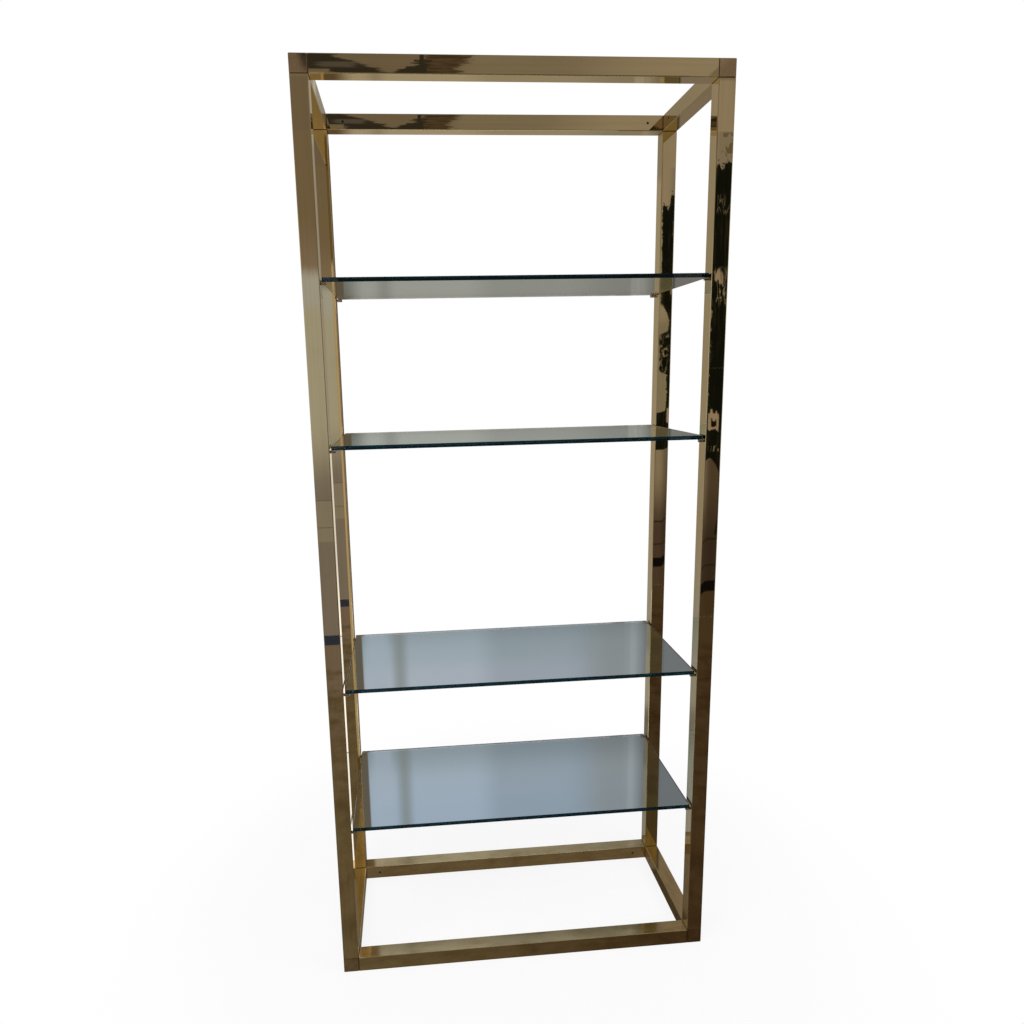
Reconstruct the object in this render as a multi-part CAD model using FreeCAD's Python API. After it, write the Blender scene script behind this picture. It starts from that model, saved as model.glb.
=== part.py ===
import FreeCAD, Part
import os
from math import cos, pi, sin

# Tall open etagere: a rectangular frame of polished square brass tube with four
# loose glass shelves. The tubes plug onto eight solid corner cubes, and each
# glass lies on four small round brass pins.
#
# Frame of the model: X is the width, Y the depth (front at -Y), Z up from the floor.
# The origin is on the floor, in the middle of the plan.

V = FreeCAD.Vector

# ---- driving dimensions, mm ----
width = 932.0           # over the outside of the posts
depth = 381.0
height = 2130.0
tube = 38.0             # outside of the square tube
wall = 1.5              # tube wall
edge_radius = 2.0       # outside edges of the tubes and the cubes
end_chamfer = 0.5       # outside edge of each tube's cut ends

prong_length = 55.0     # how far a corner cube's prong reaches into a tube
prong_play = 0.1        # gap all round between prong and tube
prong_wall = 5.0        # the prongs are cast hollow

screw_diameter = 6.0    # headless set screws that lock the rails on their prongs
screw_length = 6.0
screw_play = 0.05       # gap round the screw
screw_from_end = 40.0   # from the rail's cut end to the screw
screw_sunk = 0.4        # outer end of the screw below the tube's face
socket_across_flats = 3.0
socket_depth = 3.0
screw_end_chamfer = 0.4

shelf_levels = {1: 389.0, 2: 750.0, 3: 1327.0, 4: 1687.0}   # underside of each glass
glass_thickness = 9.5
glass_inset = 5.0       # from the outside of the posts to the glass's long edges
glass_end_gap = 3.0     # from a post's inner face to the glass's short edge
glass_corner_radius = 3.0
glass_arris = 0.8       # ground edge

pin_diameter = 7.0
pin_length = 13.5       # how far it stands out of its post
pin_from_face = 9.5     # pin axis behind the outer face of its post
pin_shoulder = 2.5      # full-round length between the post and the glass
pin_flat = 0.4          # depth of the flat that carries the glass
pin_end_chamfer = 0.6
stem_diameter = 5.0     # crosses the hollow post and bears on its far wall
stem_play = 0.05
stem_end_gap = 0.2

cut_past = 1.0          # every cutting tool runs this far past the face it opens
parallel = 0.999        # cosine from which two directions count as parallel

# ---- derived ----
half_width = width / 2
half_depth = depth / 2
bore = tube - 2 * wall
prong = bore - 2 * prong_play
post_length = height - 2 * tube
long_rail_length = width - 2 * tube
side_rail_length = depth - 2 * tube
side_sign = {"left": -1, "right": 1}
face_sign = {"front": -1, "rear": 1}
level_sign = {"bottom": -1, "top": 1}


def box_about(centre, size):
    """Box with the given centre and side lengths."""
    low = V(centre.x - size.x / 2, centre.y - size.y / 2, centre.z - size.z / 2)
    return Part.makeBox(size.x, size.y, size.z, low)


def along(axis, length, across):
    """Size vector of a bar: length along the axis, across the other two ways."""
    return V(*[length if name == axis else across for name in "XYZ"])


def unit(axis, sign=1):
    return V(*[sign if name == axis else 0 for name in "XYZ"])


def edges_along(shape, axis):
    """The straight edges that run along one axis."""
    direction = unit(axis)
    found = []
    for edge in shape.Edges:
        if abs(edge.tangentAt(edge.FirstParameter).dot(direction)) > parallel:
            found.append(edge)
    return found


def faces_across(shape, axis):
    """The flat faces square to one axis."""
    return [face for face in shape.Faces if abs(face.normalAt(0, 0).dot(unit(axis))) > parallel]


def square_tube(axis, centre, length):
    """Hollow square tube with rounded long edges and eased ends."""
    bar = box_about(centre, along(axis, length, tube))
    bar = bar.makeFillet(edge_radius, edges_along(bar, axis))
    end_edges = [edge for face in faces_across(bar, axis) for edge in face.Edges]
    bar = bar.makeChamfer(end_chamfer, end_edges)
    return bar.cut(box_about(centre, along(axis, length + 2 * cut_past, bore)))


def corner_cube(centre, inward):
    """Corner block: a cube whose three prongs point inward along X, Y and Z."""
    block = box_about(centre, V(tube, tube, tube))
    block = block.makeFillet(edge_radius, block.Edges)
    for axis in "XYZ":
        sign = inward[axis]
        reach = tube / 2 + prong_length
        arm = box_about(centre + unit(axis, sign) * (reach / 2), along(axis, reach, prong))
        hollow_length = prong_length + cut_past
        hollow_centre = centre + unit(axis, sign) * (tube / 2 + hollow_length / 2)
        hollow = box_about(hollow_centre, along(axis, hollow_length, prong - 2 * prong_wall))
        block = block.fuse(arm).cut(hollow)
    return block.removeSplitter()


def screw_hole(mouth, inward):
    """Hole for a set screw, drilled inward from a point on the tube's face."""
    drilled = wall + prong_play + prong_wall + 2 * cut_past
    return Part.makeCylinder(screw_diameter / 2 + screw_play, drilled, mouth - inward * cut_past, inward)


def set_screw(mouth, inward):
    """Headless screw with a hexagon socket, just below the tube's face."""
    outer_end = mouth + inward * screw_sunk
    body = Part.makeCylinder(screw_diameter / 2, screw_length, outer_end, inward)
    rim = [edge for edge in body.Edges if len(edge.Vertexes) == 1]
    body = body.makeChamfer(screw_end_chamfer, rim)
    circumradius = socket_across_flats / 2 / cos(pi / 6)
    beside = V(0, 0, 1)
    across = inward.cross(beside)
    corners = []
    for k in range(7):
        angle = k * pi / 3
        spoke = across * cos(angle) + beside * sin(angle)
        corners.append(outer_end - inward * cut_past + spoke * circumradius)
    socket = Part.Face(Part.makePolygon(corners)).extrude(inward * (socket_depth + cut_past))
    return body.cut(socket)


def pin_axis_point(side, face, shelf):
    """Where a pin's axis meets the inner face of its post."""
    x = side_sign[side] * (half_width - tube)
    y = face_sign[face] * (half_depth - pin_from_face)
    return V(x, y, shelf_levels[shelf] + pin_flat - pin_diameter / 2)


def shelf_pin(side, face, shelf):
    """Round pin with a shallow flat under the glass and a thinner stem inside the post."""
    root = pin_axis_point(side, face, shelf)
    inward = V(-side_sign[side], 0, 0)
    tip = root + inward * pin_length
    head = Part.makeCylinder(pin_diameter / 2, pin_length, root, inward)
    tip_rim = [edge for edge in head.Edges if edge.CenterOfMass.isEqual(tip, pin_end_chamfer)]
    head = head.makeChamfer(pin_end_chamfer, tip_rim)
    flat_length = pin_length - pin_shoulder
    flat_centre = tip + V(0, 0, pin_diameter - pin_flat)
    head = head.cut(box_about(flat_centre, V(2 * flat_length, 2 * pin_diameter, pin_diameter)))
    stem_length = tube - wall - stem_end_gap
    stem = Part.makeCylinder(stem_diameter / 2, stem_length, root, inward * -1)
    return head.fuse(stem).removeSplitter()


def pin_hole(side, face, shelf):
    """Hole for a pin's stem through the inner wall of its post."""
    root = pin_axis_point(side, face, shelf)
    inward = V(-side_sign[side], 0, 0)
    drilled = wall + 2 * cut_past
    return Part.makeCylinder(stem_diameter / 2 + stem_play, drilled, root + inward * cut_past, inward * -1)


def glass_shelf(shelf):
    """Plate glass with small corner radii and a ground arris all round."""
    size = V(long_rail_length - 2 * glass_end_gap, depth - 2 * glass_inset, glass_thickness)
    plate = box_about(V(0, 0, shelf_levels[shelf] + glass_thickness / 2), size)
    plate = plate.makeFillet(glass_corner_radius, edges_along(plate, "Z"))
    rims = [edge for face in faces_across(plate, "Z") for edge in face.Edges]
    return plate.makeChamfer(glass_arris, rims)


# ---- the pieces ----
os.makedirs("parts", exist_ok=True)
shapes = {}

post_x = half_width - tube / 2
post_y = half_depth - tube / 2
rail_z = {"bottom": tube / 2, "top": height - tube / 2}

# corner cubes
corners = {}
for level in level_sign:
    for face in face_sign:
        for side in side_sign:
            centre = V(side_sign[side] * post_x, face_sign[face] * post_y, rail_z[level])
            inward = {"X": -side_sign[side], "Y": -face_sign[face], "Z": -level_sign[level]}
            corners[f"corner_{level}_{face}_{side}"] = corner_cube(centre, inward)

# posts, drilled for their pins, and the pins
for face in face_sign:
    for side in side_sign:
        centre = V(side_sign[side] * post_x, face_sign[face] * post_y, height / 2)
        post = square_tube("Z", centre, post_length)
        for shelf in shelf_levels:
            post = post.cut(pin_hole(side, face, shelf))
            shapes[f"shelf_pin_{shelf}_{face}_{side}"] = shelf_pin(side, face, shelf)
        shapes[f"post_{face}_{side}"] = post

# rails and their set screws: one screw near each end, on the face towards the inside
rails = {}
for level in level_sign:
    for face in face_sign:
        centre = V(0, face_sign[face] * post_y, rail_z[level])
        rails[f"{level}_{face}"] = ("X", centre, long_rail_length, V(0, -face_sign[face], 0))
    for side in side_sign:
        centre = V(side_sign[side] * post_x, 0, rail_z[level])
        rails[f"{level}_{side}"] = ("Y", centre, side_rail_length, V(-side_sign[side], 0, 0))

for name, (axis, centre, length, towards_inside) in rails.items():
    rail = square_tube(axis, centre, length)
    screws = []
    for end in (-1, 1):
        mouth = centre + unit(axis, end * (length / 2 - screw_from_end)) + towards_inside * (tube / 2)
        hole = screw_hole(mouth, towards_inside * -1)
        rail = rail.cut(hole)
        for corner in corners:
            prong_is_under_screw = corners[corner].distToShape(Part.Vertex(mouth))[0] < 2 * wall
            if prong_is_under_screw:
                corners[corner] = corners[corner].cut(hole)
        screws.append(set_screw(mouth, towards_inside * -1))
    shapes[f"rail_{name}"] = rail
    shapes[f"set_screws_{name}"] = Part.makeCompound(screws)

# glass
for shelf in shelf_levels:
    shapes[f"glass_shelf_{shelf}"] = glass_shelf(shelf)

shapes.update(corners)
for name, shape in shapes.items():
    shape.exportStep(f"parts/{name}.step")
    print(f"{name:30s} {len(shape.Solids)} solid(s) {shape.Volume / 1000:10.2f} cm3 valid {shape.isValid()}")
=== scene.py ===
from math import pi

import bpy
from mathutils import Matrix, Vector


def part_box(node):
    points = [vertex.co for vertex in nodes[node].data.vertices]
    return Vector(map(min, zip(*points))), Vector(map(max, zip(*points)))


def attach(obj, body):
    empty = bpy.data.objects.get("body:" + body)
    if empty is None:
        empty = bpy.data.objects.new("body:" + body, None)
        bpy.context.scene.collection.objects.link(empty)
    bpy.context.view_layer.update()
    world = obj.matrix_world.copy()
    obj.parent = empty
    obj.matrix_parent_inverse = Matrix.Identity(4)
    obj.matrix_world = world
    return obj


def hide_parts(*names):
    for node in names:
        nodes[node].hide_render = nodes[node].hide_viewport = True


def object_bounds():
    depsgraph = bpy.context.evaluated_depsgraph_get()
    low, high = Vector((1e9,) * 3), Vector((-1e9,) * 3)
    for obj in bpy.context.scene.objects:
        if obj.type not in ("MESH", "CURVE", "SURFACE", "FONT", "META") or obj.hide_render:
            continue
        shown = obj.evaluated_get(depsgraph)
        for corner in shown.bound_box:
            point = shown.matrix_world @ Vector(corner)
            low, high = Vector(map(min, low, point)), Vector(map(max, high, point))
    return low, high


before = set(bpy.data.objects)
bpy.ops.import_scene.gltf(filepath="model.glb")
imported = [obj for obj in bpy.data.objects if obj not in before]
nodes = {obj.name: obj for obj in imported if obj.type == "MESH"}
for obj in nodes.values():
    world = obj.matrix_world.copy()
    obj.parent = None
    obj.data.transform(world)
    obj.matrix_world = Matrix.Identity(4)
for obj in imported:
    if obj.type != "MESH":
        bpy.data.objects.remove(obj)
cad_low, cad_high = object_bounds()

# ---- Camera ----
# It stands 1.5 m up, 1.8 m in front of the etagere and a little left of its middle, and looks slightly
# down. The small shift puts the etagere where it stands in the frame.
camera_place = Vector((-0.24833, -1.79895, 1.48834))
camera_turn = 0.07971           # to the right, radians
camera_tilt = 0.18215           # down
camera_roll = -0.02232
lens_mm = 25.326                # on Blender's 36 mm sensor
shift_right, shift_up = 0.0412, -0.0055

# The picture's axes point right, down and away from the eye, and the camera's right, up and back.
level_view = Matrix(((1, 0, 0), (0, 0, -1), (0, 1, 0)))
picture_axes = (Matrix.Rotation(camera_roll, 3, "Z") @ Matrix.Rotation(camera_tilt, 3, "X")
                @ level_view @ Matrix.Rotation(camera_turn, 3, "Z"))
camera_axes = picture_axes.transposed() @ Matrix.Diagonal((1, -1, -1))

camera = bpy.data.objects.new("camera", bpy.data.cameras.new("camera"))
camera.data.lens = lens_mm
camera.data.shift_x = shift_right
camera.data.shift_y = shift_up
camera.matrix_world = Matrix.Translation(camera_place) @ camera_axes.to_4x4()
bpy.context.scene.collection.objects.link(camera)
bpy.context.scene.camera = camera


# ---- Corner cubes ----
# Eight solid blocks that close the corners of the frame, each with three hollow prongs inside the tubes.
# Cast brass, ground and polished, duller and redder than the tube, with brown in the seams.

class Reading:
    """What a node gives out. Arithmetic on it adds Math nodes."""

    def __init__(self, nodes_in, socket):
        self.nodes_in = nodes_in
        self.socket = socket

    def _math(self, operation, *values):
        return self.nodes_in.node("ShaderNodeMath", {"operation": operation}, dict(enumerate(values)))

    def __add__(self, other):
        return self._math("ADD", self, other)

    def __radd__(self, other):
        return self._math("ADD", other, self)

    def __sub__(self, other):
        return self._math("SUBTRACT", self, other)

    def __rsub__(self, other):
        return self._math("SUBTRACT", other, self)

    def __mul__(self, other):
        return self._math("MULTIPLY", self, other)

    def __rmul__(self, other):
        return self._math("MULTIPLY", other, self)

    def __truediv__(self, other):
        return self._math("DIVIDE", self, other)

    def __rtruediv__(self, other):
        return self._math("DIVIDE", other, self)

    def __mod__(self, other):
        return self._math("FLOORED_MODULO", self, other)

    def __abs__(self):
        return self._math("ABSOLUTE", self)

    def sine(self):
        return self._math("SINE", self)

    def cosine(self):
        return self._math("COSINE", self)

    def least(self, other):
        return self._math("MINIMUM", self, other)

    def most(self, other):
        return self._math("MAXIMUM", self, other)

    def rise(self, low, high):
        """0 up to low, 1 from high on, and a smooth step between them."""
        return self.nodes_in.node("ShaderNodeMapRange", {"interpolation_type": "SMOOTHSTEP"},
                                  {"Value": self, "From Min": low, "From Max": high})

    def within(self, low, high, soft=0.003):
        """1 between low and high, 0 outside, with edges of the given softness."""
        return self.rise(low - soft, low + soft) * (1 - self.rise(high - soft, high + soft))


class Nodes:
    """A node tree under construction."""

    def __init__(self, tree):
        self.tree = tree

    def node(self, kind, settings=None, sockets=None, output=0):
        """Adds a node: its settings come first, then a value, a link or some links for each socket."""
        made = self.tree.nodes.new(kind)
        for name, value in (settings or {}).items():
            setattr(made, name, value)
        for name, value in (sockets or {}).items():
            if isinstance(value, Reading):
                self.tree.links.new(value.socket, made.inputs[name])
            elif isinstance(value, list):
                for reading in value:
                    self.tree.links.new(reading.socket, made.inputs[name])
            elif isinstance(value, tuple) and made.inputs[name].type == "RGBA":
                made.inputs[name].default_value = (*value, 1)
            else:
                made.inputs[name].default_value = value
        return Reading(self, made.outputs[output]) if len(made.outputs) else made

    def blend(self, factor, color_a, color_b):
        """color_a where factor is 0 and color_b where it is 1."""
        return self.node("ShaderNodeMix", {"data_type": "RGBA"},
                         {0: factor, 6: color_a, 7: color_b}, output=2)

    def place(self):
        """Where on the object a point lies: the position and its three coordinates, in metres."""
        point = self.node("ShaderNodeTexCoord", output="Object")
        parts = [self.node("ShaderNodeSeparateXYZ", {}, {0: point}, output=axis) for axis in "XYZ"]
        return point, *parts

    def stretched(self, point, scale):
        """The position, multiplied by its own scale along each axis."""
        return self.node("ShaderNodeVectorMath", {"operation": "MULTIPLY"}, {0: point, 1: scale})

    def noise(self, point, scale, detail=2.0, roughness=0.5, distortion=0.0):
        """Soft random clouds, about scale of them to a metre."""
        return self.node("ShaderNodeTexNoise", {}, {
            "Vector": point, "Scale": scale, "Detail": detail, "Roughness": roughness,
            "Distortion": distortion})


def new_finish(name):
    """An empty material, and the tree in which its nodes are made."""
    material = bpy.data.materials.new(name)
    material.use_nodes = True
    material.node_tree.nodes.clear()
    return material, Nodes(material.node_tree)


def give(material, *names):
    """Puts a finish on pieces of the frame, in place of their plain one."""
    for name in names:
        nodes[name].data.materials.clear()
        nodes[name].data.materials.append(material)


post_low, post_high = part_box("post_front_left")
tube = post_high.x - post_low.x
mid_height = cad_high.z / 2
seam_at = (cad_high.x - tube, cad_high.y - tube, mid_height - tube)     # from the etagere's middle
faces, sides, levels = ("front", "rear"), ("left", "right"), ("bottom", "top")


def brass_finish(name, clean, worn, clouds_a_metre, gloss, haze, lines_along=None):
    """Polished brass: two tones in soft clouds, tarnish and specks towards the floor, buffing lines,
    a slight waviness, and brown dirt where cube and tube meet. A tube has its lines along one axis."""
    material, make = new_finish(name)
    point, x, y, z = make.place()

    def drawn_out(across, along):
        """A pattern's scale on the three axes: a tube draws it out along its length."""
        return tuple(along if axis == lines_along else across for axis in range(3))

    from_middle = (x, y, z - mid_height)
    seam_axes = (0, 1, 2) if lines_along is None else (lines_along,)
    from_seams = [abs(abs(from_middle[axis]) - seam_at[axis]) for axis in seam_axes]
    nearest = from_seams[0]
    for distance in from_seams[1:]:
        nearest = nearest.least(distance)
    low_down = 1 - z.rise(0.10, 0.95)
    clouds = make.noise(point, clouds_a_metre, detail=4.0, roughness=0.6)
    mottle = make.noise(make.stretched(point, drawn_out(60.0, 18.0)), 1.0, detail=4.0, roughness=0.6)
    lines = make.noise(make.stretched(point, drawn_out(650.0, 6.0)), 1.0, detail=3.0)
    streaks = make.noise(make.stretched(point, drawn_out(195.0, 1.8)), 1.0, detail=2.0)
    tarnish = (clouds.rise(0.45, 0.75) * (0.12 + 0.45 * low_down) + 0.14 * streaks.rise(0.40, 0.65)
               + mottle.rise(0.36, 0.70) * (0.05 + 0.40 * low_down)).least(1.0)
    specks = make.noise(point, 260.0, detail=3.0, roughness=0.65)
    specks = specks.rise(0.68, 0.76) * (0.08 + 0.35 * low_down)
    seam_dirt = (1 - nearest.rise(0.0007, 0.0018)) * (0.55 + 0.5 * mottle)
    brown_dirt = (0.22, 0.13, 0.06)
    color = make.blend(tarnish, clean, worn)
    color = make.blend(specks.most(seam_dirt), color, brown_dirt)
    dulled = 0.07 * (1 - z.rise(0.05, 0.45))
    rough = gloss + haze * clouds.rise(0.40, 0.80) + 0.012 * lines
    rough = rough + 0.15 * specks + 0.25 * seam_dirt + dulled
    waves = make.noise(make.stretched(point, drawn_out(30.0, 5.0)), 1.0, detail=1.0, roughness=0.4)
    wave_height = 0.00004
    dents = make.node("ShaderNodeBump", {}, {"Height": waves, "Distance": wave_height, "Strength": 1.0})
    shader = make.node("ShaderNodeBsdfPrincipled", {}, {
        "Base Color": color, "Metallic": 1.0, "Roughness": rough, "Normal": dents})
    make.node("ShaderNodeOutputMaterial", {}, {"Surface": shader})
    return material


cube_brass = brass_finish("cube_brass", clean=(0.68, 0.51, 0.31), worn=(0.30, 0.19, 0.10),
                          clouds_a_metre=38.0, gloss=0.05, haze=0.08)
give(cube_brass, *[f"corner_{level}_{face}_{side}"
                   for level in levels for face in faces for side in sides])


# ---- Posts ----
# Four lengths of 38 mm square brass tube, drawn, mirror-polished and lacquered, and bonded over the
# cubes' prongs. The polish leaves faint lines along the tube and a slight waviness.
tube_look = {"clean": (0.80, 0.64, 0.36), "worn": (0.56, 0.41, 0.20),
             "clouds_a_metre": 9.0, "gloss": 0.008, "haze": 0.016}
post_brass = brass_finish("post_brass", **tube_look, lines_along=2)
give(post_brass, *[f"post_{face}_{side}" for face in faces for side in sides])


# ---- Rails ----
# Eight shorter lengths of the same tube between the cubes: long ones in front and behind, short ones at
# the sides. They are pushed over the cubes' prongs, and a set screw near each end locks them.
long_rail_brass = brass_finish("long_rail_brass", **tube_look, lines_along=0)
side_rail_brass = brass_finish("side_rail_brass", **tube_look, lines_along=1)
give(long_rail_brass, *[f"rail_{level}_{face}" for level in levels for face in faces])
give(side_rail_brass, *[f"rail_{level}_{side}" for level in levels for side in sides])


# ---- Set screws ----
# Sixteen headless M6 screws with a hexagon socket and a cup point, blackened steel, two to a rail.
# Each one is driven through the rail's inner wall and holds on the cube's prong.
screw_sizes = {"Diameter": 0.006, "Length": 0.006, "Pitch": 0.001, "Thread Depth": 0.0005,
               "Across Flats": 0.003, "Socket Depth": 0.003, "Cup Depth": 0.0008}
turn_steps = 24                 # facets round a screw, a multiple of the socket's six
steps_to_a_pitch = 4
weld_gap = 0.000002             # points closer than this become one


def steel_finish():
    """Blackened steel with a fine grain."""
    material, make = new_finish("black_oxide")
    point = make.place()[0]
    grain = make.noise(point, 900.0, detail=3.0)
    color = make.blend(grain, (0.022, 0.020, 0.018), (0.060, 0.052, 0.045))
    shader = make.node("ShaderNodeBsdfPrincipled", {}, {
        "Base Color": color, "Metallic": 0.7, "Roughness": 0.28 + 0.2 * grain})
    make.node("ShaderNodeOutputMaterial", {}, {"Surface": shader})
    return material


def set_screw_tree():
    """Makes a screw from five turned surfaces, and stands a copy on each place, the way it is driven."""
    tree = bpy.data.node_groups.new("set_screw", "GeometryNodeTree")
    tree.interface.new_socket("Places", in_out="INPUT", socket_type="NodeSocketGeometry")
    inputs = {}
    for name in (*screw_sizes, "Steel"):
        kind = "NodeSocketMaterial" if name == "Steel" else "NodeSocketFloat"
        inputs[name] = tree.interface.new_socket(name, in_out="INPUT", socket_type=kind).identifier
    tree.interface.new_socket("Screws", in_out="OUTPUT", socket_type="NodeSocketGeometry")
    make = Nodes(tree)
    given = {name: make.node("NodeGroupInput", output=name) for name in ("Places", *inputs)}
    spot = make.node("GeometryNodeInputPosition")
    turn = (make.node("ShaderNodeSeparateXYZ", {}, {0: spot}, output="X") + 0.5) * (2 * pi)
    along = make.node("ShaderNodeSeparateXYZ", {}, {0: spot}, output="Y") + 0.5

    def turned(rows, radius, depth):
        """A unit grid rolled round the axis; radius and depth follow the turn and the way along it."""
        grid = make.node("GeometryNodeMeshGrid", {}, {
            "Size X": 1.0, "Size Y": 1.0, "Vertices X": turn_steps + 1, "Vertices Y": rows})
        rolled = make.node("ShaderNodeCombineXYZ", {}, {
            "X": radius * turn.cosine(), "Y": radius * turn.sine(), "Z": depth})
        return make.node("GeometryNodeSetPosition", {}, {"Geometry": grid, "Position": rolled})

    outer = given["Diameter"] / 2
    root = outer - given["Thread Depth"]
    hexagon = (given["Across Flats"] / 2) / (turn % (pi / 3) - pi / 6).cosine()
    ridge = abs((along * given["Length"] / given["Pitch"] - turn / (2 * pi)) % 1.0 * 2 - 1)
    run_out = (along * 10).least((1 - along) * 10).least(1.0)
    thread_rows = int(screw_sizes["Length"] / screw_sizes["Pitch"] * steps_to_a_pitch) + 1
    socket_floor = turned(2, hexagon * along, given["Socket Depth"])
    socket_wall = turned(2, hexagon, given["Socket Depth"] * (1 - along))
    outer_end = turned(2, hexagon + (root - hexagon) * along, 0.0)
    thread = turned(thread_rows, root + (outer - root) * ridge * run_out, given["Length"] * along)
    cup = turned(2, root * (1 - along), given["Length"] - given["Cup Depth"] * along)
    joined = make.node("GeometryNodeJoinGeometry", {}, {
        "Geometry": [socket_floor, socket_wall, outer_end, thread, cup]})
    screw = make.node("GeometryNodeMergeByDistance", {}, {"Geometry": joined, "Distance": weld_gap})
    driven = make.node("GeometryNodeInputNamedAttribute", {"data_type": "FLOAT_VECTOR"},
                       {"Name": "driven"})
    pointed = make.node("FunctionNodeAlignRotationToVector", {"axis": "Z"}, {"Vector": driven})
    any_turn = make.node("FunctionNodeRandomValue", {"data_type": "FLOAT"},
                         {2: 0.0, 3: 2 * pi, "Seed": 4}, output=1)
    spun = make.node("FunctionNodeAxisAngleToRotation", {}, {"Axis": (0.0, 0.0, 1.0), "Angle": any_turn})
    stance = make.node("FunctionNodeRotateRotation", {"rotation_space": "LOCAL"},
                       {"Rotation": pointed, "Rotate By": spun})
    placed = make.node("GeometryNodeInstanceOnPoints", {}, {
        "Points": given["Places"], "Instance": screw, "Rotation": stance})
    real = make.node("GeometryNodeRealizeInstances", {}, {"Geometry": placed})
    finished = make.node("GeometryNodeSetMaterial", {}, {"Geometry": real, "Material": given["Steel"]})
    make.node("NodeGroupOutput", {}, {"Screws": finished})
    return tree, inputs


screw_nodes = [f"set_screws_{level}_{place}" for level in levels for place in faces + sides]
screw_places, screw_ways = [], []
for name in screw_nodes:
    low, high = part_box(name)
    middle = (low + high) / 2
    rail_axis = 0 if high.x - low.x > high.y - low.y else 1      # the two screws stand apart along it
    screw_axis = 1 - rail_axis
    way = Vector((0.0, 0.0, 0.0))
    way[screw_axis] = 1.0 if middle[screw_axis] > 0 else -1.0
    for end, inwards in ((low, 1), (high, -1)):
        mouth = middle - way * (screw_sizes["Length"] / 2)
        mouth[rail_axis] = end[rail_axis] + inwards * screw_sizes["Diameter"] / 2
        screw_places.append(mouth)
        screw_ways.append(way)

places_mesh = bpy.data.meshes.new("set_screw_places")
places_mesh.from_pydata(screw_places, [], [])
driven_ways = places_mesh.attributes.new("driven", "FLOAT_VECTOR", "POINT")
for value, way in zip(driven_ways.data, screw_ways):
    value.vector = way
set_screws = bpy.data.objects.new("set_screws", places_mesh)
bpy.context.scene.collection.objects.link(set_screws)
screw_tree, screw_inputs = set_screw_tree()
turning = set_screws.modifiers.new("turning", "NODES")
turning.node_group = screw_tree
for name, size in screw_sizes.items():
    turning[screw_inputs[name]] = size
turning[screw_inputs["Steel"]] = steel_finish()
finished_screws = set_screws.evaluated_get(bpy.context.evaluated_depsgraph_get())
turned_screws = bpy.data.meshes.new_from_object(finished_screws)
set_screws.modifiers.remove(turning)
set_screws.data = turned_screws
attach(set_screws, "frame")
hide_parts(*screw_nodes)


# ---- Shelf pins ----
# Sixteen turned brass pins, four to a shelf, with a flat milled on top for the glass. Their stems cross
# the posts. They are polished on the lathe and browned with age.
pin_brass = brass_finish("pin_brass", clean=(0.50, 0.37, 0.25), worn=(0.30, 0.20, 0.12),
                         clouds_a_metre=60.0, gloss=0.10, haze=0.08)
shelf_numbers = (1, 2, 3, 4)     # from the floor up
give(pin_brass, *[f"shelf_pin_{shelf}_{face}_{side}"
                  for shelf in shelf_numbers for face in faces for side in sides])


# ---- Glass shelves ----
# Four loose plates of 9.5 mm clear float glass with ground and polished edges, lying on the pins.
# The clear body has the blue-green tint of float glass, which turns dark teal along the edges.

def glass_finish():
    """Clear glass with faint smears, and a tint that deepens with the way through it."""
    material, make = new_finish("plate_glass")
    point = make.place()[0]
    smears = make.noise(point, 14.0, detail=5.0, roughness=0.6, distortion=0.4)
    shader = make.node("ShaderNodeBsdfPrincipled", {}, {
        "Base Color": (1.0, 1.0, 1.0), "Transmission Weight": 1.0, "IOR": 1.52,
        "Roughness": 0.010 * smears.rise(0.45, 0.75)})
    tint = make.node("ShaderNodeVolumeAbsorption", {}, {"Color": (0.40, 0.62, 0.66), "Density": 20.0})
    make.node("ShaderNodeOutputMaterial", {}, {"Surface": shader, "Volume": tint})
    return material


plate_glass = glass_finish()
give(plate_glass, *[f"glass_shelf_{shelf}" for shelf in shelf_numbers])
edge_to_edge_bounces = 40        # light crosses a plate from one edge to the other in many bounces
for limit in ("max_bounces", "glossy_bounces", "transmission_bounces"):
    setattr(bpy.context.scene.cycles, limit, edge_to_edge_bounces)


# ---- Floor and lamps ----
# A plain pale floor that keeps the etagere's soft shadow, a white surround, and two soft lamps. The
# lamps light the etagere, but its polish and its glass don't show them.

def panel(name, corners, material):
    """A flat board that stands about the etagere and isn't part of it."""
    mesh = bpy.data.meshes.new(name)
    mesh.from_pydata(corners, [], [range(len(corners))])
    made = bpy.data.objects.new(name, mesh)
    mesh.materials.append(material)
    bpy.context.scene.collection.objects.link(made)
    return made


def seen_directly(make):
    """1 for what the camera, the metal and the glass see, 0 for the light on the object."""
    by_eye, in_metal, in_glass = [make.node("ShaderNodeLightPath", output=f"Is {kind} Ray")
                                  for kind in ("Camera", "Glossy", "Transmission")]
    return by_eye.most(in_metal).most(in_glass)


def floor_finish():
    """Pale paint, lifted to white where it is seen, so that only a part of the shadow stays."""
    material, make = new_finish("pale_floor")
    point, x, y, z = make.place()
    grain = make.noise(point, 60.0, detail=4.0)
    pale = make.blend(grain, (0.80, 0.80, 0.79), (0.84, 0.84, 0.83))
    paint = make.node("ShaderNodeBsdfDiffuse", {}, {"Color": pale})
    white = make.node("ShaderNodeEmission", {}, {"Color": (1.0, 1.0, 1.0), "Strength": 1.0})
    far = (x * x + y * y).rise(0.25, 1.4)
    lift = seen_directly(make) * (0.88 + 0.12 * far)
    mixed = make.node("ShaderNodeMixShader", {}, {0: lift, 1: paint, 2: white})
    make.node("ShaderNodeOutputMaterial", {}, {"Surface": mixed})
    return material


def level_board(level, x_reach, y_low, y_high):
    """The corners of a level board, as wide to the left as to the right."""
    return [(-x_reach, y_low, level), (x_reach, y_low, level),
            (x_reach, y_high, level), (-x_reach, y_high, level)]


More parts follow.
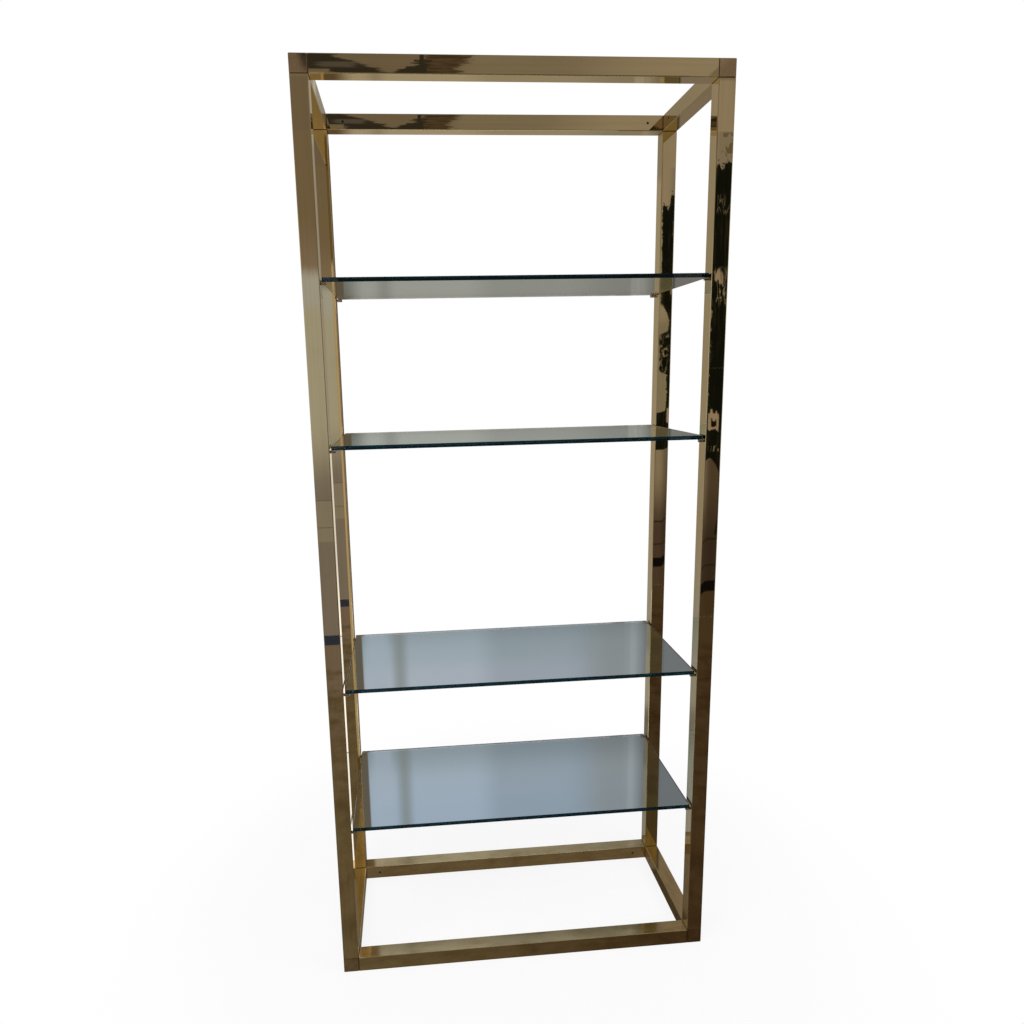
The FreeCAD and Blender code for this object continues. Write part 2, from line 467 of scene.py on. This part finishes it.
floor_reach = 9.0
floor_level = -0.0005            # just clear of the cubes that stand on it
panel("floor", level_board(floor_level, floor_reach, -floor_reach, floor_reach), floor_finish())

world = bpy.data.worlds.new("surround")
world.use_nodes = True
world.node_tree.nodes.clear()
surround = Nodes(world.node_tree)
plain_level = 0.55               # light from all round; what is seen of the surround is white
backdrop = surround.node("ShaderNodeBackground", {}, {
    "Color": (1.0, 1.0, 1.0), "Strength": plain_level + (1 - plain_level) * seen_directly(surround)})
surround.node("ShaderNodeOutputWorld", {}, {"Surface": backdrop})
bpy.context.scene.world = world
bpy.context.scene.view_settings.view_transform = "Standard"


lamp_aim = Vector((0, 0, 0.9))   # the middle of the etagere, a little low


def soft_lamp(name, place, size, power):
    """A square lamp that points at the etagere."""
    lamp = bpy.data.lights.new(name, "AREA")
    lamp.size = size
    lamp.energy = power
    made = bpy.data.objects.new(name, lamp)
    made.location = place
    made.rotation_euler = (lamp_aim - Vector(place)).to_track_quat("-Z", "Y").to_euler()
    made.visible_glossy = False
    made.visible_transmission = False
    bpy.context.scene.collection.objects.link(made)


soft_lamp("key_lamp", place=(-1.6, -1.9, 3.1), size=1.8, power=55.0)
soft_lamp("fill_lamp", place=(2.0, -1.2, 2.6), size=1.6, power=28.0)


# ---- Mirrored room: the wall close behind ----
# The room is made of boards that only the etagere's polish and its glass show, painted by their place
# in metres. This one is plaster between a dark jamb and a curtain, and the plates show it in other tones.
room_side = 2.6
far_wall_y = -2.65
near_wall_y = 0.262
ceiling_z = 2.745
dark_floor_level = -0.0002
glass_wall_behind = 0.02         # the glass shows a second wall, this far behind the metal's


def mirror_board(name, corners, paint, through_glass=False):
    """A board that gives off the colour that paint makes from a point's place. Either the polish shows
    it, or it shows through the glass."""
    material, make = new_finish(name)
    glow = make.node("ShaderNodeEmission", {}, {"Color": paint(make, *make.place()), "Strength": 1.0})
    make.node("ShaderNodeOutputMaterial", {}, {"Surface": glow})
    material.cycles.emission_sampling = "NONE"
    made = panel(name, corners, material)
    made.visible_camera = False
    made.visible_diffuse = False
    made.visible_shadow = False
    made.visible_volume_scatter = False
    made.visible_glossy = not through_glass
    made.visible_transmission = through_glass


def wall_board(y):
    """The corners of a wall across the room, from its floor to its ceiling."""
    return [(-room_side, y, 0), (room_side, y, 0), (room_side, y, ceiling_z), (-room_side, y, ceiling_z)]


def dimmed(make, color, light):
    """A colour times a number."""
    return make.node("ShaderNodeVectorMath", {"operation": "SCALE"}, {0: color, "Scale": light})


def daylight_on_wall(make, x):
    """Daylight along the near wall: it fades to the right, with a dull stripe and a brighter strip."""
    light = 1 - 0.17 * x.rise(-0.09, 0.01) - 0.15 * x.rise(0.19, 0.36) - 0.28 * x.rise(0.43, 0.47)
    return light - 0.24 * x.within(-0.322, -0.290, 0.022) + 0.12 * x.within(0.409, 0.429, 0.008)


def near_wall(make, point, x, y, z):
    """The wall close behind as the polish shows it: plaster between a dark jamb and a curtain, with the
    shadows of the lower shelves, and what lies outside on the left."""
    shelf_shadows = 1 - 0.35 * z.within(0.24, 0.43, 0.03) - 0.27 * z.within(0.63, 0.73, 0.025)
    plaster = make.blend(z.rise(0.70, 1.00), (0.39, 0.41, 0.44), (0.405, 0.377, 0.320))
    # Painted light: a strip of brighter daylight on the wall, just left of the curtain.
    daylight_strip = 0.22 * x.within(0.385, 0.410, 0.004) * z.within(0.45, 2.00, 0.02)
    wall = dimmed(make, plaster, (daylight_on_wall(make, x) + daylight_strip) * shelf_shadows)
    jamb = make.blend(z.rise(1.20, 1.35), (0.150, 0.120, 0.085), (0.120, 0.085, 0.050))
    jamb = make.blend(z.rise(2.08, 2.10), jamb, (0.29, 0.265, 0.23))
    jamb_edge = -0.417
    fades_over = 0.015 + 0.045 * z.rise(1.20, 1.35)
    wall = make.blend(((x - jamb_edge) / fades_over).rise(0, 1), jamb, wall)
    glint = x.within(-0.395, -0.389, 0.001) * z.rise(2.10, 2.12) * 0.35
    wall = make.blend(glint, wall, (0.72, 0.70, 0.65))
    above_window = z.rise(1.86, 1.90)
    outside = make.blend(above_window, (0.62, 0.66, 0.90), (0.19, 0.18, 0.16))
    outside = make.blend(x.within(-0.482, -0.476, 0.002) * above_window, outside, (0.36, 0.35, 0.33))
    wall = make.blend(1 - x.rise(-0.458, -0.454), wall, outside)
    curtain = make.blend(x.rise(0.508, 0.516), (0.065, 0.055, 0.045), (0.23, 0.20, 0.175))
    return make.blend(x.rise(0.474, 0.480), wall, curtain)


def wall_through_glass(make, point, x, y, z):
    """The near wall's tones as the plates show them, each plate darker towards its rear edge."""
    shelf_shadows = (1 - 0.28 * z.within(0.28, 0.46, 0.06) - 0.28 * z.within(0.69, 0.80, 0.05)
                     - 0.25 * z.within(1.31, 1.35, 0.02) - 0.25 * z.within(1.66, 1.71, 0.02)
                     - 0.45 * z.within(1.324, 1.350, 0.003) - 0.45 * z.within(1.670, 1.694, 0.003))
    plaster = make.blend(z.rise(0.12, 0.34), (0.372, 0.445, 0.535), (0.360, 0.425, 0.470))
    plaster = make.blend(z.within(0.46, 0.61, 0.04), plaster, (0.435, 0.470, 0.545))
    plaster = make.blend(z.rise(0.80, 1.20), plaster, (0.360, 0.435, 0.420))
    plaster = make.blend(z.rise(1.45, 1.65), plaster, (0.262, 0.287, 0.262))
    lower_plates = 1 - z.rise(0.80, 1.20)
    plaster = make.blend(x.rise(0.24, 0.34) * lower_plates * 0.7, plaster, (0.400, 0.425, 0.420))
    wall = dimmed(make, plaster, daylight_on_wall(make, x) * shelf_shadows)
    wall = make.blend(0.5 * x.within(-0.400, -0.345, 0.012) * lower_plates, wall, (0.40, 0.455, 0.53))
    wall = make.blend(0.45 * x.within(-0.322, -0.290, 0.016) * lower_plates, wall, (0.23, 0.235, 0.185))
    return make.blend(x.rise(-0.420, -0.414), (0.120, 0.100, 0.070), wall)


mirror_board("near_wall_in_metal", wall_board(near_wall_y), near_wall)
mirror_board("near_wall_in_glass", wall_board(near_wall_y + glass_wall_behind), wall_through_glass,
             through_glass=True)


# ---- Mirrored room: a chink of daylight ----
# A strip of window beside that wall, which the front left post mirrors on its inner face. The strip is
# turned edge-on to the eye, so neither the plates nor the rails show it.

def window_slit(make, point, x, y, z):
    """Daylight on the side towards the left post, and the wall's dull tone on the other."""
    daylight = make.blend(z.rise(0.75, 1.00), (1.25, 1.20, 1.14), (0.78, 0.75, 0.69))
    towards_post = make.node("ShaderNodeNewGeometry", output="Backfacing")
    return make.blend(towards_post, (0.20, 0.18, 0.15), daylight)


slit_near_x, slit_near_y, slit_far_y = -0.3812, 0.225, 0.256
slit_top = 1.29
slit_lean = (slit_near_x - camera_place.x) / (slit_near_y - camera_place.y)
slit_far_x = slit_near_x + slit_lean * (slit_far_y - slit_near_y)
slit_corners = [(slit_near_x, slit_near_y, 0), (slit_far_x, slit_far_y, 0),
                (slit_far_x, slit_far_y, slit_top), (slit_near_x, slit_near_y, slit_top)]
mirror_board("slit_in_metal", slit_corners, window_slit)
mirror_board("slit_in_glass", slit_corners, window_slit, through_glass=True)


# ---- Mirrored room: slivers at the plates' far edges ----
# A plate's rear and right edges turn the eye's line back to the dark floor. A sliver that lies along the
# line of sight gives them that tone, and hides nothing that is seen straight through the plate.

def floor_in_edge(make, point, x, y, z):
    """The dark floor's tone, cooler and dimmer in the upper plates."""
    return make.blend(z.rise(0.5, 1.0), (0.100, 0.075, 0.058), (0.070, 0.060, 0.050))


edge_gap = 0.00005               # between a plate's face and the sliver
rear_sliver_starts, rear_sliver_reach = 0.0080, 0.0046       # in from the plate's edge, and its width
right_sliver_starts, right_sliver_reach = 0.0026, 0.0018
for shelf in shelf_numbers:
    low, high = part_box(f"glass_shelf_{shelf}")
    seen_from_above = camera_place.z > high.z
    leaves_at = low.z - edge_gap if seen_from_above else high.z + edge_gap
    below_eye = leaves_at - camera_place.z
    near_y = high.y - rear_sliver_starts
    far_y = near_y + rear_sliver_reach
    far_z = leaves_at + below_eye / (high.y - camera_place.y) * rear_sliver_reach
    corners = [(low.x, near_y, leaves_at), (high.x, near_y, leaves_at),
               (high.x, far_y, far_z), (low.x, far_y, far_z)]
    mirror_board(f"rear_edge_{shelf}", corners, floor_in_edge, through_glass=True)
    near_x = high.x - right_sliver_starts
    far_x = near_x + right_sliver_reach
    far_z = leaves_at + below_eye / (high.x - camera_place.x) * right_sliver_reach
    corners = [(near_x, low.y, leaves_at), (near_x, high.y, leaves_at),
               (far_x, high.y, far_z), (far_x, low.y, far_z)]
    mirror_board(f"right_edge_{shelf}", corners, floor_in_edge, through_glass=True)


# ---- Mirrored room: the far wall ----
# The wall behind the eye, which the posts' front faces mirror: lit plaster on the left, a dark doorway
# in the middle, and a sofa with a tall plant on the right.

def lit_plaster(make, point, z):
    """The left part: dim below, a pale shelf edge, then daylight up to the shade under the ceiling."""
    plaster = make.blend(z.rise(0.80, 1.25), (0.205, 0.195, 0.225), (0.41, 0.44, 0.47))
    plaster = make.blend(z.within(0.560, 0.80), plaster, (0.255, 0.250, 0.265))
    joints = z.within(0.641, 0.646, 0.001).most(z.within(0.798, 0.803, 0.001))
    plaster = make.blend(joints, plaster, (0.15, 0.14, 0.13))
    plaster = make.blend(z.within(1.86, 2.20, 0.05), plaster, (0.41, 0.46, 0.58))
    shade = make.blend(z.rise(2.05, 2.35), (0.235, 0.20, 0.185), (0.19, 0.16, 0.13))
    fringe = make.noise(make.stretched(point, (90.0, 1.0, 4.0)), 1.0, detail=2.0)
    return make.blend((z + 0.05 * (fringe - 0.5)).rise(2.005, 2.085), plaster, shade)


def sofa(make, x, z, wall):
    """A rounded brown back over two cushions, lit from the left, with the dark gap under it."""
    to_right = x.rise(1.43, 1.51)
    z = z - 0.030 * x.rise(1.46, 1.50)
    upper = make.blend(to_right, (0.26, 0.235, 0.21), (0.085, 0.066, 0.052))
    lower = make.blend(to_right, (0.075, 0.055, 0.050), (0.042, 0.032, 0.028))
    cloth = make.blend(z.rise(0.40, 0.84), lower, upper)
    seams = z.within(0.290, 0.300).most(z.within(0.450, 0.462)) * 0.8
    cloth = make.blend(seams, cloth, (0.020, 0.014, 0.012))
    cloth = make.blend(z.within(0.132, 0.198, 0.005), cloth, (0.006, 0.005, 0.006))
    boards = make.blend(to_right, (0.078, 0.058, 0.048), (0.060, 0.042, 0.027))
    cloth = make.blend(1 - z.rise(0.126, 0.134), cloth, boards)
    right_of_crown = x - 1.47
    top = 0.952 - 16 * right_of_crown.most(0) * right_of_crown
    wall = make.blend((1 - (z - top).rise(-0.003, 0.003)) * x.rise(1.0, 1.2), wall, cloth)
    arm_edge = 1.548 - 0.020 * z.rise(0.86, 0.94) - 0.014 * (1 - z.rise(0.49, 0.60))
    arm = (x - arm_edge).rise(-0.002, 0.002) * z.within(0.48, 0.96)
    return make.blend(arm, wall, (0.012, 0.009, 0.008))


def plant(make, point, x, z, wall):
    """A tall dark plant: its left outline bulges in two clumps and spreads at the top, and the pale wall
    shows between some of its leaves."""
    leaves = make.noise(make.stretched(point, (46.0, 46.0, 30.0)), 1.0, detail=3.0, distortion=0.8)
    edge = (1.468 - 0.085 * z.within(0.90, 1.205, 0.012) - 0.055 * z.within(1.465, 1.725, 0.015)
            - 0.056 * z.rise(1.80, 1.93))
    top = 2.475 + 0.10 * x.rise(1.455, 1.475) + 0.5 * abs(x - 1.505)
    covered = (x + 0.030 * (leaves - 0.5) - edge).rise(-0.002, 0.002) * z.rise(0.835, 0.841)
    covered = covered * (1 - (z + 0.13 * (leaves - 0.5) - top).rise(-0.003, 0.003))
    stalks = make.noise(make.stretched(point, (90.0, 90.0, 5.0)), 1.0, detail=2.0)
    greens = make.blend(stalks.rise(0.55, 0.68), (0.006, 0.0075, 0.006), (0.018, 0.016, 0.012))
    blades = make.noise(make.stretched(point, (40.0, 40.0, 9.0)), 1.0, detail=1.5, distortion=0.7)
    to_right = x.rise(1.468, 1.478)
    loose_left = z.within(1.45, 1.71, 0.02) * (1 - to_right)
    loose_right = z.within(1.84, 2.03, 0.02).most(z.within(1.010, 1.042, 0.005) * 0.7)
    loose_right = loose_right.most(z.within(2.33, 2.42, 0.02) * 0.5) * to_right
    between_blades = (1 - abs(blades - 0.5).rise(0.012, 0.032)) * loose_left.most(loose_right)
    teeth = z + 0.10 * (make.noise(make.stretched(point, (75.0, 1.0, 5.0)), 1.0, detail=1.0) - 0.5)
    opening = x.within(1.474, 1.536, 0.002) * teeth.within(1.132, 1.236, 0.003)
    opening = opening * (1 - x.within(1.492, 1.522, 0.003) * teeth.within(1.145, 1.185, 0.003))
    blotch = x.within(1.480, 1.528, 0.004) * teeth.within(1.962, 2.016, 0.004) * blades.rise(0.40, 0.46)
    greens = make.blend(between_blades, greens, (0.24, 0.215, 0.18))
    greens = make.blend(opening.most(blotch), greens, (0.33, 0.275, 0.25))
    return make.blend(covered, wall, greens)


def far_wall(make, point, x, y, z):
    """The three parts side by side, the right one in two tones with a dry leaf near the ceiling."""
    right_plaster = make.blend(x.rise(1.43, 1.50), (0.31, 0.285, 0.26), (0.24, 0.22, 0.21))
    right_plaster = make.blend(z.rise(1.75, 1.85), (0.24, 0.23, 0.20), right_plaster)
    dry_leaf = make.noise(make.stretched(point, (30.0, 1.0, 22.0)), 1.0, detail=2.0, distortion=0.5)
    dry_leaf = dry_leaf.rise(0.50, 0.53) * x.rise(1.49, 1.50) * z.within(2.62, 2.74, 0.01)
    right_plaster = make.blend(dry_leaf, right_plaster, (0.14, 0.115, 0.085))
    wall = make.blend(x.rise(-0.62, -0.60), lit_plaster(make, point, z), (0.070, 0.065, 0.060))
    wall = make.blend(x.rise(1.24, 1.26), wall, right_plaster)
    return sofa(make, x, z, plant(make, point, x, z, wall))


mirror_board("far_wall", wall_board(far_wall_y), far_wall)


# ---- Mirrored room: ceiling, floor and side walls ----
# What the rails and the cubes mirror above and below, a board that closes the gaps at eye level, and
# the walls that close the room at the sides.

def ceiling(make, point, x, y, z):
    """Dull plaster, and three ragged dark leaves that hang before it in front of the etagere."""
    plaster = make.blend(x.rise(-0.05, 0.10), (0.175, 0.152, 0.133), (0.225, 0.205, 0.185))
    plaster = make.blend(x.rise(0.4, 0.9), plaster, (0.31, 0.285, 0.265))
    over_the_ends = abs(x - 0.245).rise(0.855, 0.870) * y.rise(-1.98, -1.94)
    plaster = make.blend(over_the_ends, plaster, (0.215, 0.185, 0.160))
    rags = make.stretched(point, (5.0, 70.0, 1.0))
    rags = make.noise(rags, 1.0, detail=4.0, roughness=0.6, distortion=0.5)
    ragged_x = x + 0.17 * (rags - 0.5)
    leaf_band = y.within(-2.05, -1.5, 0.01)
    brown_leaf = ragged_x.within(-0.135, 0.008 + 0.03 * y.rise(-1.84, -1.80), 0.003)
    stripes = make.noise(make.stretched(point, (11.0, 52.0, 1.0)), 1.0, detail=2.0, distortion=0.3)
    brown = make.blend(stripes.rise(0.42, 0.62), (0.052, 0.039, 0.029), (0.090, 0.068, 0.050))
    color = make.blend(brown_leaf * leaf_band, plaster, brown)
    left_leaf = (1 - (ragged_x + 1.25 * (y + 1.76) + 0.485).rise(-0.004, 0.004)) * x.rise(-0.64, -0.63)
    left_leaf = left_leaf * (1 - (1 - ragged_x.rise(-0.53, -0.52)) * (1 - y.rise(-1.89, -1.885)))
    middle_leaf = ragged_x.within(-0.180, -0.125, 0.003) * (1 - (y + 0.03 * rags).rise(-1.795, -1.785))
    lobe = (ragged_x - 0.9 * (y + 1.86)).rise(-0.215, -0.208)
    lobe = lobe * (1 - y.rise(-1.86, -1.85)) * (1 - x.rise(-0.13, -0.12))
    stem = x.within(-0.157, -0.139, 0.002)
    stem = stem.most(x.within(-0.18, -0.105, 0.002) * y.within(-1.80, -1.782, 0.002))
    sheen = y.within(-1.87, -1.81, 0.01) * ragged_x.within(-0.57, -0.42, 0.02)
    dark = make.blend(sheen, (0.033, 0.030, 0.027), (0.088, 0.085, 0.088))
    return make.blend(left_leaf.most(middle_leaf).most(lobe).most(stem) * leaf_band, color, dark)


def dark_floor(make, point, x, y, z):
    """Worn boards, darker to the right, with a patch of sun beside the rear left post."""
    patches = make.noise(point, 7.0, detail=5.0, roughness=0.65)
    left = make.blend(y.rise(-2.1, -0.9), (0.180, 0.152, 0.150), (0.145, 0.123, 0.092))
    left = make.blend(1 - y.rise(-2.495, -2.485), left, (0.030, 0.040, 0.090))
    to_right = x.rise(-0.5, 0.55)
    base = make.blend(to_right, left, (0.070, 0.049, 0.032))
    worn = make.blend(to_right, (0.110, 0.090, 0.060), (0.045, 0.030, 0.018))
    floor = make.blend(patches.rise(0.4, 0.66) * y.rise(-2.3, -2.1), base, worn)
    floor = make.blend(y.rise(-0.16, -0.06), floor, (0.145, 0.120, 0.090))
    floor = make.blend(x.rise(0.385, 0.400) * y.within(-0.16, 0.10, 0.01), floor, (0.068, 0.052, 0.028))
    sun_patch = x.within(-0.412, -0.365, 0.004) * y.rise(0.156, 0.176)
    return make.blend(sun_patch, floor, (1.00, 0.92, 0.78))


def eye_level(make, point, x, y, z):
    """A board level with the eye, which sees it from its edge. It closes the gaps where one face mirrors
    another."""
    to_right = x.rise(-0.6, 0.6)
    near_tone = make.blend(to_right, (0.28, 0.26, 0.20), (0.15, 0.155, 0.125))
    far_tone = make.blend(to_right, (0.30, 0.27, 0.20), (0.23, 0.20, 0.12))
    return make.blend(y.rise(-1.65, -1.55), far_tone, near_tone)


def side_wall(make, point, x, y, z):
    """Plaster with a curtained opening, brighter in the left wall."""
    folds = make.noise(make.stretched(point, (1.0, 11.0, 0.4)), 1.0, detail=3.0)
    plaster = make.blend(z.rise(0.3, 2.4), (0.17, 0.145, 0.12), (0.34, 0.32, 0.29))
    daylight = make.blend(x.rise(-1.0, 1.0), (1.1, 1.15, 1.1), (0.60, 0.60, 0.58))
    curtain = make.blend(folds, (0.40, 0.40, 0.38), daylight)
    return make.blend(y.within(-1.9, -0.8, 0.03) * z.within(0.95, 2.3, 0.02), plaster, curtain)


mirror_board("ceiling", level_board(ceiling_z, room_side, far_wall_y, near_wall_y), ceiling)
mirror_board("dark_floor", level_board(dark_floor_level, room_side, far_wall_y, near_wall_y), dark_floor)
mirror_board("eye_level", level_board(camera_place.z, room_side, y_low=-2.3, y_high=-0.9), eye_level)
for name, x_side in (("left_wall", -room_side), ("right_wall", room_side)):
    mirror_board(name, [(x_side, far_wall_y, 0), (x_side, near_wall_y, 0),
                        (x_side, near_wall_y, ceiling_z), (x_side, far_wall_y, ceiling_z)], side_wall)
